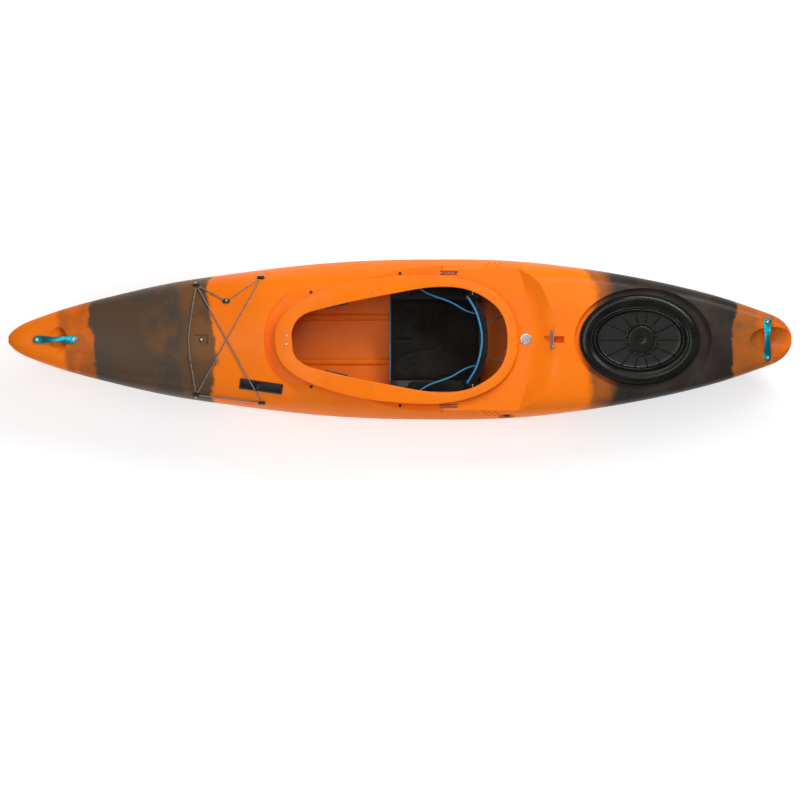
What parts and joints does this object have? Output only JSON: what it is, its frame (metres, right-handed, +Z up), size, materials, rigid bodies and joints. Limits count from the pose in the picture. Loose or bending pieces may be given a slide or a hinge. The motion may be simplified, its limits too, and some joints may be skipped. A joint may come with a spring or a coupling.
{
  "type": "river touring kayak",
  "caption": "One-seat moulded touring kayak with cockpit outfitting, rear hatch, drop skeg worked by a deck slider, deck line and carry handles.",
  "frame": {"origin": "on the ground under the middle of the boat's length and breadth, at the height of its flat bottom", "axes": "+X towards the stern (bow at -X), +Y to starboard, +Z up"},
  "size_m": [3.1, 0.6346, 0.3959],
  "materials": {
    "shell_plastic": "satin",
    "handle_alloy": "anodised satin",
    "stainless": "polished",
    "badge_metal": "polished",
    "black_plastic": "matte",
    "hatch_rubber": "satin",
    "seat_plastic": "matte",
    "seat_fabric": "woven",
    "foam": "closed-cell foam",
    "blue_cord": "braided",
    "black_cord": "braided",
    "grey_cord": "braided",
    "cable_sheath": "smooth",
    "rail_alloy": "extruded"
  },
  "bodies": {
    "boat": {"hull_shell": "shell_plastic", "deck_shell": "shell_plastic", "bow_handle": "handle_alloy", "stern_handle": "handle_alloy", "handle_bolts": "stainless", "rim_front_bolts": "stainless", "thigh_brace_bolts": "stainless", "trough_screws": "black_plastic", "foot_rail_bolts": "stainless", "security_bar": "stainless", "security_bar_bolts": "stainless", "badge": "badge_metal", "tie_bars": "stainless", "drain_fitting": "black_plastic", "hatch_rim": "black_plastic", "skeg_case": "black_plastic", "skeg_pin": "stainless", "skeg_slider_box": "black_plastic", "skeg_cable": "cable_sheath", "seat_pan": "seat_plastic", "seat_pad": "seat_fabric", "hip_pad_starboard": "seat_fabric", "hip_pad_port": "seat_fabric", "backband_side_cords": "blue_cord", "backband_rear_cords": "black_cord", "thigh_brace_starboard": "seat_plastic", "thigh_brace_port": "seat_plastic", "foot_rails": "rail_alloy", "bow_pillar": "foam", "rear_bulkhead": "foam", "deck_line": "grey_cord", "deck_line_bolts": "stainless", "deck_line_fittings": "black_plastic", "centre_line_fitting": "black_plastic"},
    "skeg_slider": {"skeg_slider_knob": "black_plastic"},
    "skeg": {"skeg_blade": "black_plastic"},
    "hatch": {"hatch_cover": "hatch_rubber"},
    "drain": {"drain_plug": "black_plastic"},
    "foot_rest": {"foot_plate": "seat_plastic"},
    "back_rest": {"backband": "seat_fabric", "backband_pins": "stainless", "backband_piping": "blue_cord"}
  },
  "joints": [
    {"name": "skeg_slide", "type": "slide", "parent": "boat", "child": "skeg_slider", "axis": [0.9903, -0.1392, 0], "range_m": [0, 0.07]},
    {"name": "skeg_swing", "type": "hinge", "parent": "boat", "child": "skeg", "pos_m": [1.176, 0, 0.176], "axis": [0, 1, 0], "range_deg": [0, 60]},
    {"name": "hatch_lift", "type": "slide", "parent": "boat", "child": "hatch", "axis": [0, 0, 1], "range_m": [0, 0.25]},
    {"name": "drain_plug_pull", "type": "slide", "parent": "boat", "child": "drain", "axis": [0, -0.809, 0.5878], "range_m": [0, 0.04]},
    {"name": "foot_rest_adjust", "type": "slide", "parent": "boat", "child": "foot_rest", "axis": [1, 0, 0], "range_m": [-0.05, 0.05]},
    {"name": "backband_tilt", "type": "hinge", "parent": "boat", "child": "back_rest", "pos_m": [0.288, 0, 0.15], "axis": [0, 1, 0], "range_deg": [-12, 15], "stiffness_Nm_per_rad": 12, "deforming": ["backband_side_cords", "backband_rear_cords"]}
  ],
  "couplings": [
    {"joint": "skeg_swing", "follows": "skeg_slide", "rad_per_m": 14.95}
  ]
}
